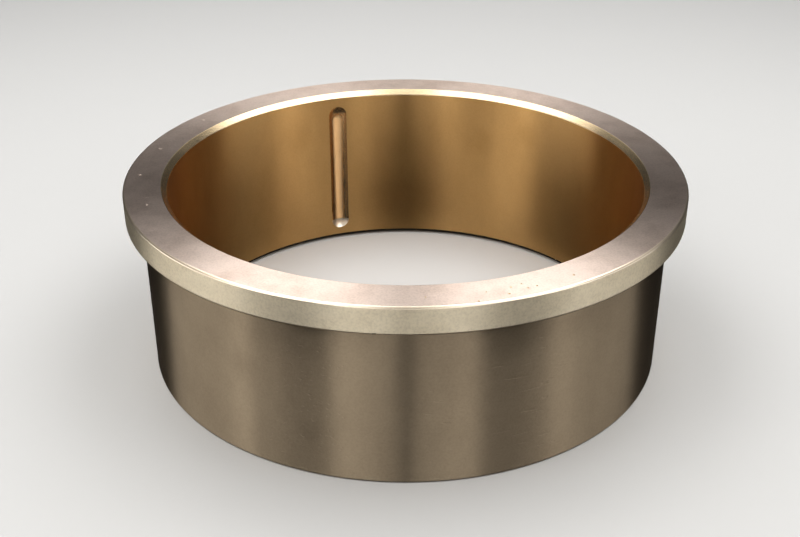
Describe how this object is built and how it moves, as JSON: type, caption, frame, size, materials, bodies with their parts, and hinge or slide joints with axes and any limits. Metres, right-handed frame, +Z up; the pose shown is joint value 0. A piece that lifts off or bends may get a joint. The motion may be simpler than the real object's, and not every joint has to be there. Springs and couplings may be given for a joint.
{
  "type": "flanged sleeve bearing",
  "caption": "Turned bronze sleeve bearing: a thin-walled ring with a shallow flange round its top end, a plain chamfered bore and a blind axial oil groove in the bore's wall.",
  "frame": {"origin": "centre of the sleeve's foot, on the bore's axis, in the plane the bearing stands on", "axes": "+Z up along the bore's axis, from the sleeve's foot to the flange; the oil groove is on the +Y side of the bore"},
  "size_m": [0.212, 0.212, 0.0715],
  "materials": {
    "bronze": "fine turned, satin"
  },
  "bodies": {
    "root": {"flanged_sleeve": "bronze"}
  },
  "joints": []
}
